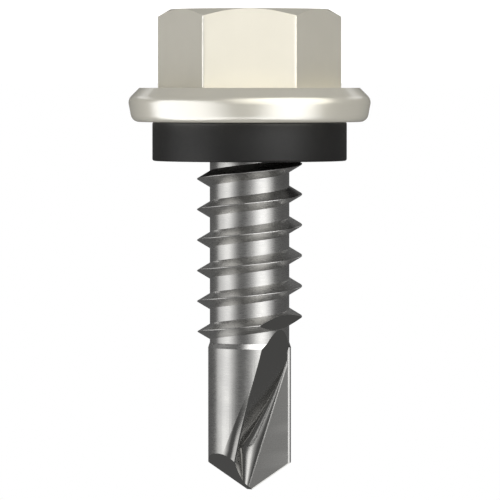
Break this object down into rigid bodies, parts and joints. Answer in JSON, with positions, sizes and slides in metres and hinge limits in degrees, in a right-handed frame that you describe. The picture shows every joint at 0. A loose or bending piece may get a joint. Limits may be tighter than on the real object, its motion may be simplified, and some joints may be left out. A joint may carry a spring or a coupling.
{
  "type": "self drilling screw",
  "caption": "Self drilling screw with a painted hexagon washer head, a black rubber sealing washer, a coarse zinc-plated thread and a fluted drill point.",
  "frame": {"origin": "centre of the flat end of the hexagon, on the screw's axis", "axes": "+Z runs from the head to the drill point, so the screw stands on its head. -Y is the front of the picture, square to two flats of the hexagon. The cutting lip that the picture shows is on the -X side"},
  "size_m": [0.0144, 0.0144, 0.0286],
  "materials": {
    "zinc_steel": "bright zinc plate, smooth",
    "head_paint": "glossy cream paint, baked on",
    "seal_rubber": "black moulded rubber, satin"
  },
  "bodies": {
    "root": {"screw_body": "zinc_steel", "sealing_washer": "seal_rubber"}
  },
  "joints": []
}
